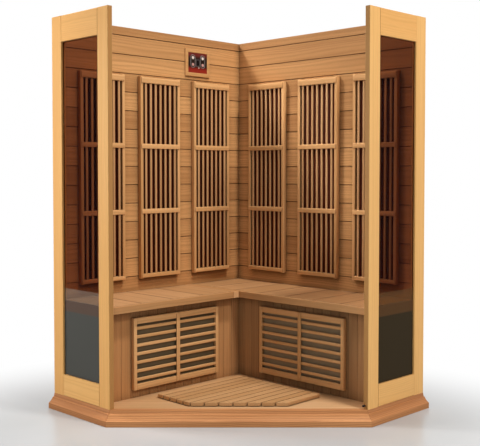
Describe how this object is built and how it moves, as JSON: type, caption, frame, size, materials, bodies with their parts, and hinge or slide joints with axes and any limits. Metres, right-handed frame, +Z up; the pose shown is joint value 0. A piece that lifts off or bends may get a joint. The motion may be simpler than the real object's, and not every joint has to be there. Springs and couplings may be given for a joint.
{
  "type": "infrared sauna cabin",
  "caption": "Corner infrared sauna cabin, five-sided, open front and top, boarded rear walls with slatted heater grilles, glazed side panels, corner benches and a loose duckboard.",
  "frame": {"origin": "on the ground, at the middle of the footprint's bounding box", "axes": "+Z up, the open front faces -Y, +X to the right as seen from the front"},
  "size_m": [1.8608, 1.2594, 1.9],
  "materials": {
    "frame_wood": "satin clear finish on pale softwood",
    "wall_wood": "planed, unvarnished",
    "grille_wood": "planed, unvarnished",
    "bench_wood": "planed, unvarnished",
    "kick_wood": "planed, unvarnished",
    "floor_wood": "planed, unvarnished",
    "plinth_wood": "satin clear finish",
    "tinted_glass": "bronze tint, polished",
    "heater_black": "matt black",
    "control_black": "satin black",
    "bezel_grey": "satin grey",
    "button_white": "satin off-white",
    "peg_black": "matt black"
  },
  "bodies": {
    "cabin": {"floor_panel": "floor_wood", "plinth_front": "plinth_wood", "plinth_left": "plinth_wood", "plinth_right": "plinth_wood", "rear_rail_left": "plinth_wood", "rear_rail_right": "plinth_wood", "floor_bearer_1": "plinth_wood", "floor_bearer_2": "plinth_wood", "rear_left_lining": "wall_wood", "rear_left_back_panel": "wall_wood", "rear_right_lining": "wall_wood", "rear_right_back_panel": "wall_wood", "side_left_rear_stile": "frame_wood", "side_left_front_stile": "frame_wood", "side_left_top_rail": "frame_wood", "side_left_bottom_rail": "frame_wood", "side_left_glass": "tinted_glass", "side_right_rear_stile": "frame_wood", "side_right_front_stile": "frame_wood", "side_right_top_rail": "frame_wood", "side_right_bottom_rail": "frame_wood", "side_right_glass": "tinted_glass", "locating_peg": "peg_black", "heater_grille_left_1": "grille_wood", "heater_grille_left_2": "grille_wood", "heater_grille_left_3": "grille_wood", "heater_grille_right_1": "grille_wood", "heater_grille_right_2": "grille_wood", "heater_grille_right_3": "grille_wood", "heater_panel_left_1": "heater_black", "heater_panel_left_2": "heater_black", "heater_panel_left_3": "heater_black", "heater_panel_right_1": "heater_black", "heater_panel_right_2": "heater_black", "heater_panel_right_3": "heater_black", "bench_left_seat": "bench_wood", "bench_left_front_rail": "bench_wood", "bench_left_end_rail": "bench_wood", "bench_left_cleat": "bench_wood", "bench_right_seat": "bench_wood", "bench_right_front_rail": "bench_wood", "bench_right_cleat": "bench_wood", "kick_panel_left": "kick_wood", "kick_panel_right": "kick_wood", "leg_grille_left": "grille_wood", "leg_grille_right": "grille_wood", "leg_heater_left": "heater_black", "leg_heater_right": "heater_black", "control_frame": "grille_wood", "control_face": "control_black", "display_window": "control_black", "indicator_lens": "button_white", "button_bezel_left": "bezel_grey", "button_bezel_right": "bezel_grey"},
    "button_upper_left_body": {"button_upper_left": "button_white"},
    "button_lower_left_body": {"button_lower_left": "button_white"},
    "button_upper_right_body": {"button_upper_right": "button_white"},
    "button_lower_right_body": {"button_lower_right": "button_white"},
    "duckboard_body": {"duckboard": "floor_wood"}
  },
  "joints": [
    {"name": "button_upper_left_press", "type": "slide", "parent": "cabin", "child": "button_upper_left_body", "axis": [-0.7071, 0.7071, 0], "range_m": [0, 0.0015], "stiffness_N_per_m": 300},
    {"name": "button_lower_left_press", "type": "slide", "parent": "cabin", "child": "button_lower_left_body", "axis": [-0.7071, 0.7071, 0], "range_m": [0, 0.0015], "stiffness_N_per_m": 300},
    {"name": "button_upper_right_press", "type": "slide", "parent": "cabin", "child": "button_upper_right_body", "axis": [-0.7071, 0.7071, 0], "range_m": [0, 0.0015], "stiffness_N_per_m": 300},
    {"name": "button_lower_right_press", "type": "slide", "parent": "cabin", "child": "button_lower_right_body", "axis": [-0.7071, 0.7071, 0], "range_m": [0, 0.0015], "stiffness_N_per_m": 300},
    {"name": "duckboard_lift", "type": "slide", "parent": "cabin", "child": "duckboard_body", "axis": [0, 0, 1], "range_m": [0, 0.25]}
  ]
}
